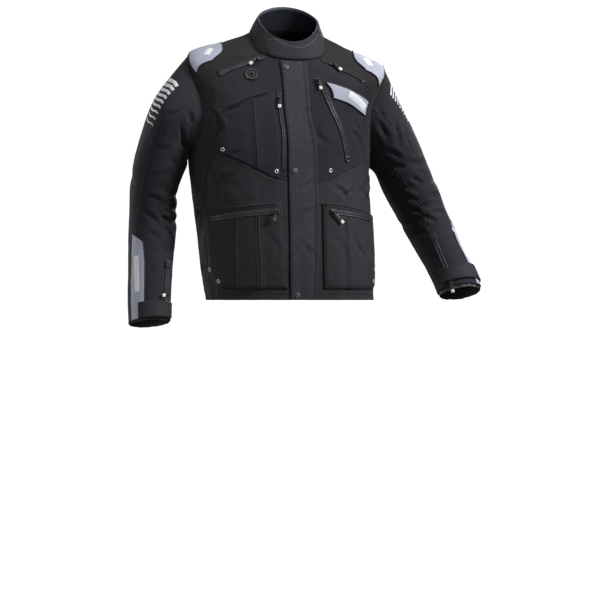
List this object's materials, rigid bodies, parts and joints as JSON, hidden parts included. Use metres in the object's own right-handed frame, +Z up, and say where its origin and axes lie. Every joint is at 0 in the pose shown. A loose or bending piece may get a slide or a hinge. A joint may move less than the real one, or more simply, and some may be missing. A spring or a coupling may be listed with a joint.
{
  "type": "motorcycle jacket",
  "caption": "Short motorcycle jacket in worn shape, hollow, with a stand collar, snapped storm flap, zipped pockets, light patches and strapped cuffs.",
  "frame": {"origin": "middle of the neck seam, where the wearer's neck and shoulders hold the jacket", "axes": "+Z up, +X to the wearer's left, -Y to the front"},
  "size_m": [0.9351, 0.2984, 0.8371],
  "materials": {
    "softshell": "matt softshell",
    "ripstop": "coated ripstop weave",
    "stretch": "matt stretch knit",
    "lining": "brushed lining",
    "light_cloth": "light smooth weave",
    "zip_tape": "coated water-resistant zip tape",
    "rubber": "satin",
    "snap_metal": "dark satin metal",
    "slider_metal": "black lacquered metal",
    "pull_plastic": "black soft plastic"
  },
  "bodies": {
    "jacket": {"front_upper_right": "softshell", "front_upper_left": "softshell", "front_lower_right": "ripstop", "front_lower_left": "ripstop", "side_right": "stretch", "side_left": "stretch", "yoke_front_right": "stretch", "yoke_front_left": "stretch", "yoke_back_right": "stretch", "yoke_back_left": "stretch", "back": "softshell", "sleeve_outer_right": "softshell", "sleeve_outer_left": "softshell", "sleeve_front_right": "softshell", "sleeve_front_left": "softshell", "sleeve_gusset_right": "stretch", "sleeve_gusset_left": "stretch", "collar": "ripstop", "collar_lining": "lining", "collar_tab": "ripstop", "storm_flap": "ripstop", "snap_top": "snap_metal", "snap_middle": "snap_metal", "snap_bottom": "snap_metal", "chest_pocket_right": "softshell", "pocket_right": "ripstop", "pocket_left": "ripstop", "chest_patch_left": "light_cloth", "shoulder_patch_right": "light_cloth", "shoulder_patch_left": "light_cloth", "forearm_patch_right": "light_cloth", "forearm_patch_left": "light_cloth", "cuff_strap_right": "ripstop", "cuff_strap_left": "ripstop", "cable_port": "rubber", "zip_vent_right": "zip_tape", "zip_vent_left": "zip_tape", "zip_chest_right": "zip_tape", "zip_chest_left": "zip_tape", "zip_pocket_right": "zip_tape", "zip_pocket_left": "zip_tape", "zip_cuff_right": "zip_tape", "zip_cuff_left": "zip_tape", "slider_vent_right": "slider_metal", "slider_vent_left": "slider_metal", "slider_chest_right": "slider_metal", "slider_chest_left": "slider_metal", "slider_pocket_right": "slider_metal", "slider_pocket_left": "slider_metal", "slider_cuff_right": "slider_metal", "slider_cuff_left": "slider_metal"},
    "vent_pull_right": {"pull_vent_right": "pull_plastic"},
    "vent_pull_left": {"pull_vent_left": "pull_plastic"},
    "chest_pull_right": {"pull_chest_right": "pull_plastic"},
    "chest_pull_left": {"pull_chest_left": "pull_plastic"},
    "pocket_pull_right": {"pull_pocket_right": "pull_plastic"},
    "pocket_pull_left": {"pull_pocket_left": "pull_plastic"},
    "cuff_pull_right": {"pull_cuff_right": "pull_plastic"},
    "cuff_pull_left": {"pull_cuff_left": "pull_plastic"}
  },
  "joints": [
    {"name": "vent_pull_right_hinge", "type": "hinge", "parent": "jacket", "child": "vent_pull_right", "pos_m": [-0.09731, -0.0702, -0.05053], "axis": [-0.5509, 0.5853, 0.5949], "range_deg": [0, 140]},
    {"name": "vent_pull_left_hinge", "type": "hinge", "parent": "jacket", "child": "vent_pull_left", "pos_m": [0.10102, -0.0864, -0.06022], "axis": [-0.709, -0.4823, -0.5145], "range_deg": [0, 140]},
    {"name": "chest_pull_right_hinge", "type": "hinge", "parent": "jacket", "child": "chest_pull_right", "pos_m": [-0.05199, -0.12832, -0.1572], "axis": [-0.9877, 0.123, 0.0966], "range_deg": [0, 140]},
    {"name": "chest_pull_left_hinge", "type": "hinge", "parent": "jacket", "child": "chest_pull_left", "pos_m": [0.05371, -0.11573, -0.10532], "axis": [-0.9923, -0.0135, -0.1234], "range_deg": [0, 140]},
    {"name": "pocket_pull_right_hinge", "type": "hinge", "parent": "jacket", "child": "pocket_pull_right", "pos_m": [-0.07325, -0.16255, -0.44704], "axis": [-0.996, 0.0192, 0.0871], "range_deg": [0, 140]},
    {"name": "pocket_pull_left_hinge", "type": "hinge", "parent": "jacket", "child": "pocket_pull_left", "pos_m": [0.08466, -0.14661, -0.44544], "axis": [-0.687, -0.1676, -0.7071], "range_deg": [0, 140]},
    {"name": "cuff_pull_right_hinge", "type": "hinge", "parent": "jacket", "child": "cuff_pull_right", "pos_m": [-0.33416, -0.09262, -0.65529], "axis": [-0.2606, -0.0304, 0.965], "range_deg": [0, 140]},
    {"name": "cuff_pull_left_hinge", "type": "hinge", "parent": "jacket", "child": "cuff_pull_left", "pos_m": [0.40604, -0.12414, -0.62668], "axis": [-0.8481, 0.4421, -0.2919], "range_deg": [0, 140]}
  ]
}
